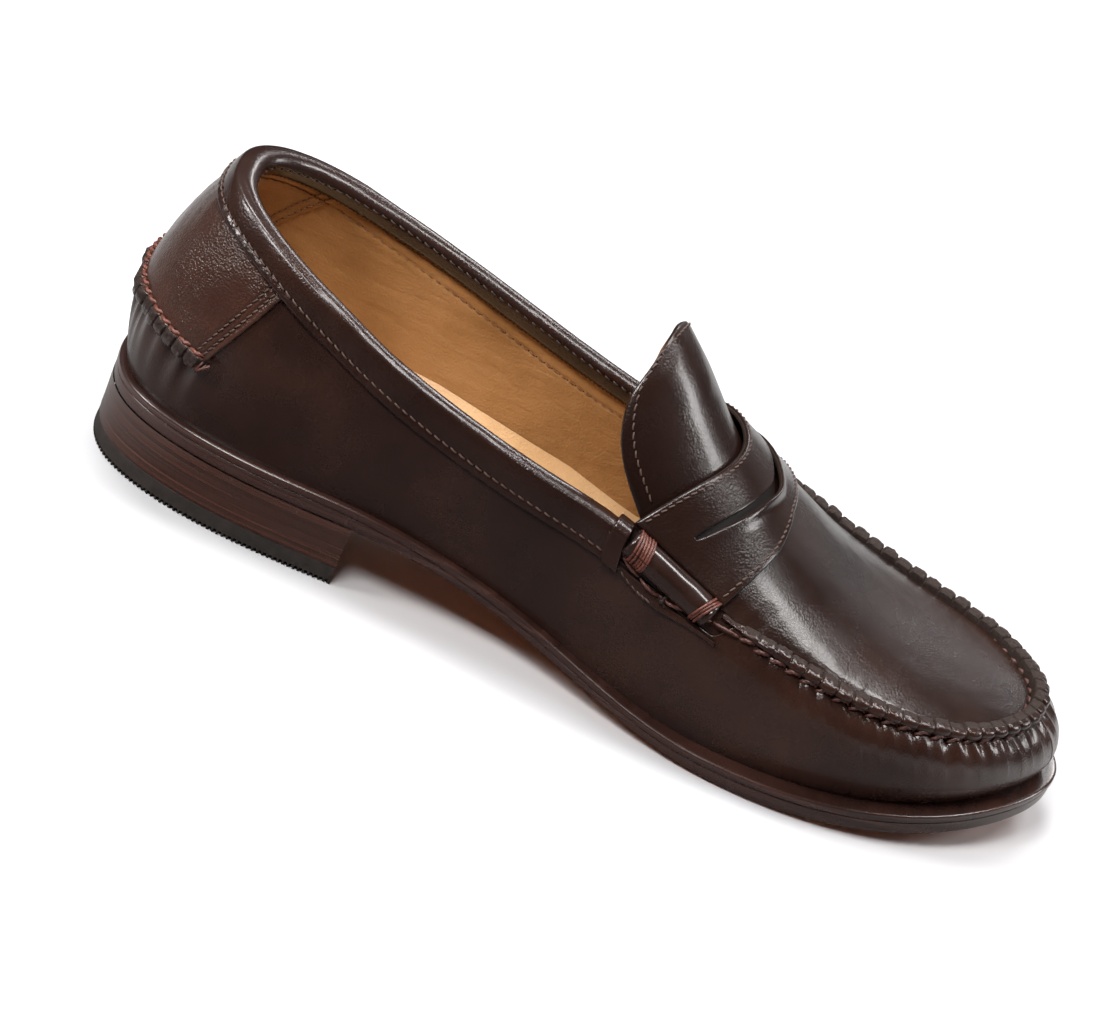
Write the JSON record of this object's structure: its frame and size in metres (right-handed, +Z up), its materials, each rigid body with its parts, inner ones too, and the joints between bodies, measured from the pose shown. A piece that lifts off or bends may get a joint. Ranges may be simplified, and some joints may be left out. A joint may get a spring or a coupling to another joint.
{
  "type": "penny loafer",
  "caption": "Right-foot slip-on moccasin shoe with a slotted saddle strap, rolled strap ends, hand-sewn apron seam and stacked low heel.",
  "frame": {"origin": "middle of the bounding box's bottom, on the ground under the waist", "axes": "+X to the toe, -Y to the outer side of the foot, +Z up; the shoe stands flat on its heel and ball"},
  "size_m": [0.3045, 0.1064, 0.1054],
  "materials": {
    "upper_leather": "smooth burnished calf, dark brown",
    "collar_leather": "smooth folded calf, dark brown",
    "patch_leather": "grained calf, dark red brown",
    "lining_leather": "soft tan lining leather",
    "sock_leather": "smooth tan sock leather",
    "sole_leather": "inked and waxed sole edge, red tan underside",
    "lift_leather": "stacked leather, polished edge",
    "rubber": "black heel rubber, knurled edge",
    "hand_thread": "thick waxed red brown thread",
    "board": "pressed fibre board",
    "foam": "soft foam",
    "cork": "cork paste",
    "steel": "plain steel"
  },
  "bodies": {
    "root": {"apron": "upper_leather", "apron_lining": "lining_leather", "apron_seam_thread": "hand_thread", "back_stay": "board", "beef_roll_lateral": "upper_leather", "beef_roll_medial": "upper_leather", "cork_filler": "cork", "heel_counter": "board", "heel_lift_1": "lift_leather", "heel_lift_2": "lift_leather", "heel_lift_3": "lift_leather", "heel_lift_4": "lift_leather", "heel_lining": "lining_leather", "heel_nails": "steel", "heel_patch": "patch_leather", "heel_seam_thread": "hand_thread", "heel_top_piece": "rubber", "insole_board": "board", "moccasin_wall": "upper_leather", "outsole": "sole_leather", "quarter_lining_lateral": "lining_leather", "quarter_lining_medial": "lining_leather", "roll_filler_lateral": "cork", "roll_filler_medial": "cork", "roll_wrap_thread_lateral": "hand_thread", "roll_wrap_thread_medial": "hand_thread", "saddle_strap": "upper_leather", "shank": "steel", "sock_foam": "foam", "sock_liner": "sock_leather", "strap_tab_lateral": "upper_leather", "strap_tab_medial": "upper_leather", "toe_puff": "board", "topline_collar": "collar_leather", "vamp_lining": "lining_leather", "welt_rand": "sole_leather"},
    "tongue": {"tongue": "upper_leather", "tongue_lining": "lining_leather"}
  },
  "joints": [
    {"name": "tongue_flex", "type": "hinge", "parent": "root", "child": "tongue", "pos_m": [0.02541, 0, 0.0785], "axis": [0, 1, 0], "range_deg": [0, 15], "stiffness_Nm_per_rad": 0.3}
  ]
}
